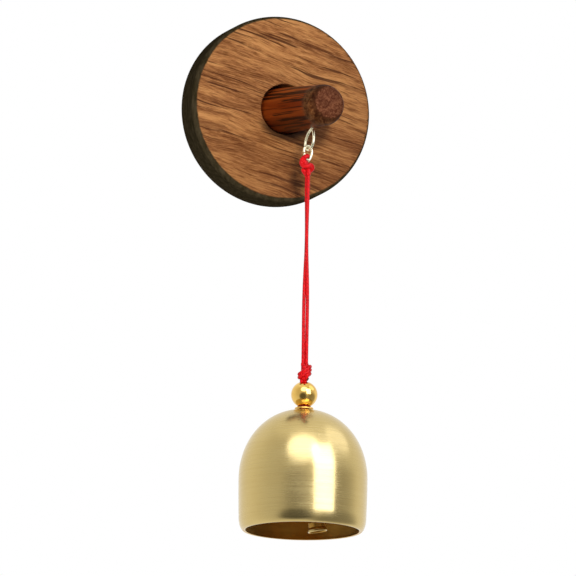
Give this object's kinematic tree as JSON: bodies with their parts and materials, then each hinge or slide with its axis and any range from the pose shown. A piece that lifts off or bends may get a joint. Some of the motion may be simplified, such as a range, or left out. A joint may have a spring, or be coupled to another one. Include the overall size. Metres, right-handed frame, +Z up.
{
  "type": "hanging door bell",
  "caption": "Small brass bell hung by a doubled red cord from a peg on a round wooden wall disc, with a gold bead and a clapper.",
  "frame": {"origin": "centre of the back face of the adhesive pad, on the wall", "axes": "+Y out of the back into the wall, +Z up, +X to the right as the front is seen; the front faces -Y"},
  "size_m": [0.06, 0.0575, 0.1703],
  "materials": {
    "disc_wood": "dark-stained open-grained hardwood, darker on the rim",
    "peg_wood": "dark red-brown turned hardwood with dark stripes",
    "foam": "matt closed-cell foam with adhesive faces",
    "steel": "zinc-plated",
    "wire_brass": "bright drawn wire",
    "bell_brass": "satin turned brass with fine lathe lines",
    "gold": "polished gold plating",
    "red_cord": "waxed red cord"
  },
  "bodies": {
    "wall_mount": {"wall_disc": "disc_wood", "adhesive_pad": "foam", "peg": "peg_wood", "peg_screw": "steel", "screw_eye": "wire_brass"},
    "ring": {"hang_ring": "wire_brass"},
    "cord": {"cord_hitch": "red_cord", "cord_strand_left": "red_cord", "cord_strand_right": "red_cord"},
    "knot": {"cord_knot": "red_cord", "cord_core": "red_cord", "inner_knot": "red_cord"},
    "bead": {"bead": "gold"},
    "bell": {"crown_washer": "gold", "bell_shell": "bell_brass", "inner_washer": "wire_brass"},
    "clapper": {"clapper_cord": "red_cord", "clapper_bob": "bell_brass", "clapper_knot": "red_cord"}
  },
  "joints": [
    {"name": "ring_swing", "type": "hinge", "parent": "wall_mount", "child": "ring", "pos_m": [0.00041, -0.03715, -0.01741], "axis": [0, 1, 0], "range_deg": [-40, 40]},
    {"name": "cord_swing", "type": "hinge", "parent": "ring", "child": "cord", "pos_m": [0.00041, -0.03715, -0.02086], "axis": [1, 0, 0], "range_deg": [-40, 6]},
    {"name": "bell_tip", "type": "hinge", "parent": "cord", "child": "knot", "pos_m": [0.00041, -0.03715, -0.08926], "axis": [1, 0, 0], "range_deg": [-20, 4]},
    {"name": "bell_turn", "type": "hinge", "parent": "knot", "child": "bell", "pos_m": [0.00041, -0.03715, -0.10027], "axis": [0, 0, 1], "range_deg": [-180, 180]},
    {"name": "bead_turn", "type": "hinge", "parent": "knot", "child": "bead", "pos_m": [0.00041, -0.03715, -0.09619], "axis": [0, 0, 1], "continuous": true},
    {"name": "clapper_swing", "type": "hinge", "parent": "knot", "child": "clapper", "pos_m": [0.00041, -0.03715, -0.10724], "axis": [0, -1, 0], "range_deg": [-34.5, 16.5]}
  ]
}
